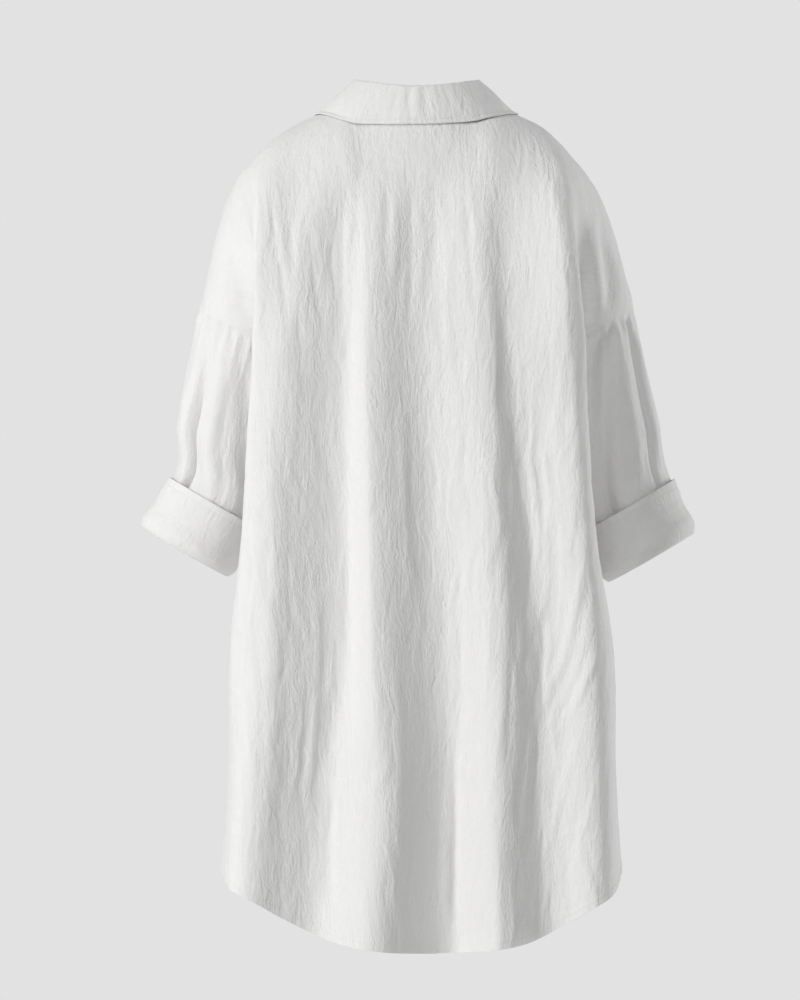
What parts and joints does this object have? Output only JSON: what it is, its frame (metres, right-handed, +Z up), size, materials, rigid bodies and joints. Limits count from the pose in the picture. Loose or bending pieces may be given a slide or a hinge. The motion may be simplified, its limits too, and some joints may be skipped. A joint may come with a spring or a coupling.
{
  "type": "long loose blouse, worn",
  "caption": "Long loose shirt blouse, hollow as worn, with turned-down collar, button band, dropped shoulders, turned-up cuffs and a curved hem longer at the back.",
  "frame": {"origin": "on the wearer's centre line between the shoulders, level with the collar seam at the back neck, where the garment rests on the wearer", "axes": "+Z up the wearer, -Y the way the wearer's back faces, +Y the way the chest faces, +X the wearer's right"},
  "size_m": [0.603, 0.2924, 0.9298],
  "materials": {
    "cloth": "matt washed plain weave, white",
    "button": "satin"
  },
  "bodies": {
    "root": {"back": "cloth", "front_left": "cloth", "front_right": "cloth", "band_left": "cloth", "band_right": "cloth", "collar_stand": "cloth", "collar_fall": "cloth", "sleeve_left": "cloth", "sleeve_right": "cloth", "cuff_left": "cloth", "cuff_right": "cloth", "button_1": "button", "button_2": "button", "button_3": "button", "button_4": "button", "button_5": "button", "button_6": "button", "button_7": "button", "button_8": "button"}
  },
  "joints": []
}
